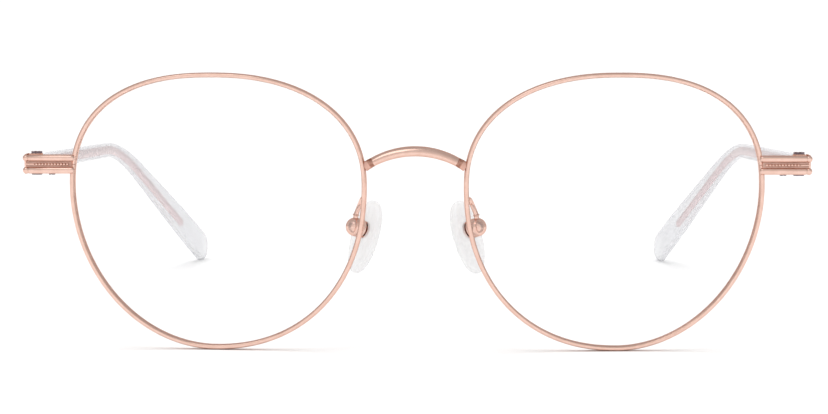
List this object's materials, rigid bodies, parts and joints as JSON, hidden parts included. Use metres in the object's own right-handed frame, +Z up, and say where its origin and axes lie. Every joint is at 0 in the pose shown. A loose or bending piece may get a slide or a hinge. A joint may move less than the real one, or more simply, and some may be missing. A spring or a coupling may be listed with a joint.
{
  "type": "eyeglasses",
  "caption": "Round wire eyeglasses in rose gold metal with clear sleeved temples, beaded end pieces and clear nose pads.",
  "frame": {"origin": "bottom centre of the bounding box, with the glasses standing open on the rims and the temple tips", "axes": "+X towards the right end piece as seen from the front, +Y from the front back towards the temple tips, +Z up"},
  "size_m": [0.138, 0.1504, 0.0484],
  "materials": {
    "rose_gold": "polished rose gold plating",
    "core_wire": "rose gold wire, satin",
    "screw_dark": "dark gunmetal",
    "lens_clear": "clear, polished",
    "clear_acetate": "clear, glossy",
    "pad_silicone": "clear, soft sheen"
  },
  "bodies": {
    "front": {"rim_left": "rose_gold", "rim_right": "rose_gold", "lens_left": "lens_clear", "lens_right": "lens_clear", "bridge": "rose_gold", "endpiece_left": "rose_gold", "endpiece_right": "rose_gold", "closing_block_upper_left": "rose_gold", "closing_block_upper_right": "rose_gold", "closing_block_lower_left": "rose_gold", "closing_block_lower_right": "rose_gold", "closing_screw_left": "screw_dark", "closing_screw_right": "screw_dark", "hinge_front_left": "rose_gold", "hinge_front_right": "rose_gold", "hinge_screw_left": "screw_dark", "hinge_screw_right": "screw_dark", "pad_arm_left": "rose_gold", "pad_arm_right": "rose_gold", "pad_box_left": "rose_gold", "pad_box_right": "rose_gold", "pad_screw_left": "rose_gold", "pad_screw_right": "rose_gold"},
    "temple_left": {"hinge_temple_left": "rose_gold", "temple_core_left": "core_wire", "temple_sleeve_left": "clear_acetate"},
    "temple_right": {"hinge_temple_right": "rose_gold", "temple_core_right": "core_wire", "temple_sleeve_right": "clear_acetate"},
    "pad_left": {"pad_insert_left": "rose_gold", "nose_pad_left": "pad_silicone"},
    "pad_right": {"pad_insert_right": "rose_gold", "nose_pad_right": "pad_silicone"}
  },
  "joints": [
    {"name": "temple_left_fold", "type": "hinge", "parent": "front", "child": "temple_left", "pos_m": [-0.06667, -0.06862, 0.03245], "axis": [0, -0.0183, -0.9998], "range_deg": [0, 73]},
    {"name": "temple_right_fold", "type": "hinge", "parent": "front", "child": "temple_right", "pos_m": [0.06667, -0.06862, 0.03245], "axis": [0, 0.0183, 0.9998], "range_deg": [0, 85]},
    {"name": "pad_left_rock", "type": "hinge", "parent": "front", "child": "pad_left", "pos_m": [-0.0105, -0.06687, 0.02104], "axis": [-0.5736, 0.819, 0.0143], "range_deg": [-8, 8]},
    {"name": "pad_right_rock", "type": "hinge", "parent": "front", "child": "pad_right", "pos_m": [0.0105, -0.06687, 0.02104], "axis": [0.5736, 0.819, 0.0143], "range_deg": [-8, 8]}
  ]
}
